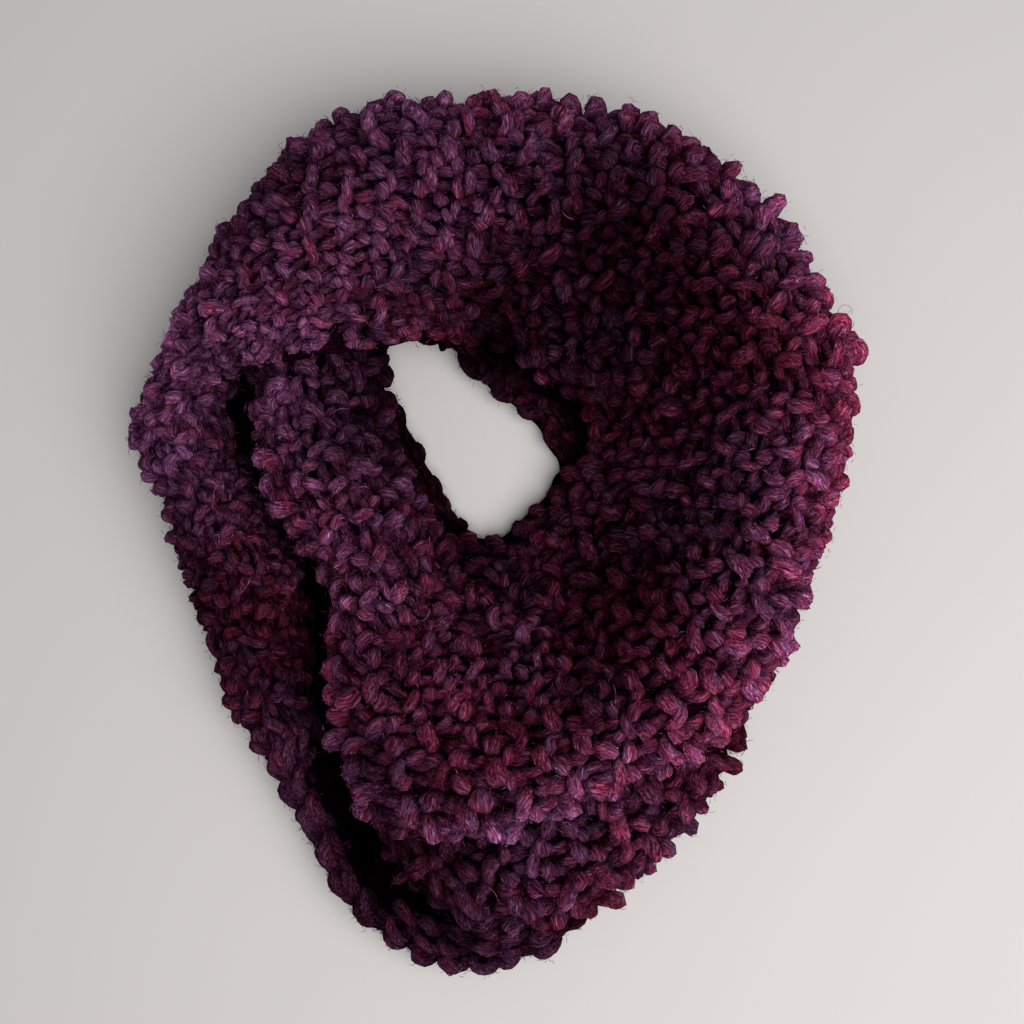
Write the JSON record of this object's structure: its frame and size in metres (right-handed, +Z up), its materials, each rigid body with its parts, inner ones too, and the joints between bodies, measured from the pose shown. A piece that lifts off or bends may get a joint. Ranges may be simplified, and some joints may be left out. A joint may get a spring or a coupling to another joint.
{
  "type": "infinity scarf",
  "caption": "Chunky seed-stitch infinity scarf in burgundy wool, wound twice into a thick ring and laid down, with an open hole in the middle.",
  "frame": {"origin": "centre of the whole scarf's plan, on the surface that it lies on", "axes": "+Z up, +Y to the far side of the ring, +X to its right"},
  "size_m": [0.3527, 0.4348, 0.0742],
  "materials": {
    "knit_upper": "thick two-ply roving wool in burgundy heather, seed stitch, fuzzy, with near-black and pink-red fibres",
    "knit_lower": "the same wool in seed stitch, a little darker where it lies in shade",
    "knit_selvedge": "the same wool in the chained edge stitches of the band",
    "knit_hidden": "the same wool, in the layers underneath"
  },
  "bodies": {
    "root": {"upper_turn_back": "knit_upper", "upper_turn_right": "knit_upper", "upper_turn_front": "knit_upper", "upper_turn_inner_left": "knit_upper", "lower_turn_left": "knit_lower", "lower_turn_side": "knit_lower", "lower_turn_front": "knit_lower", "hole_selvedge_right": "knit_selvedge", "hole_selvedge_left": "knit_selvedge", "hidden_layers": "knit_hidden"}
  },
  "joints": []
}
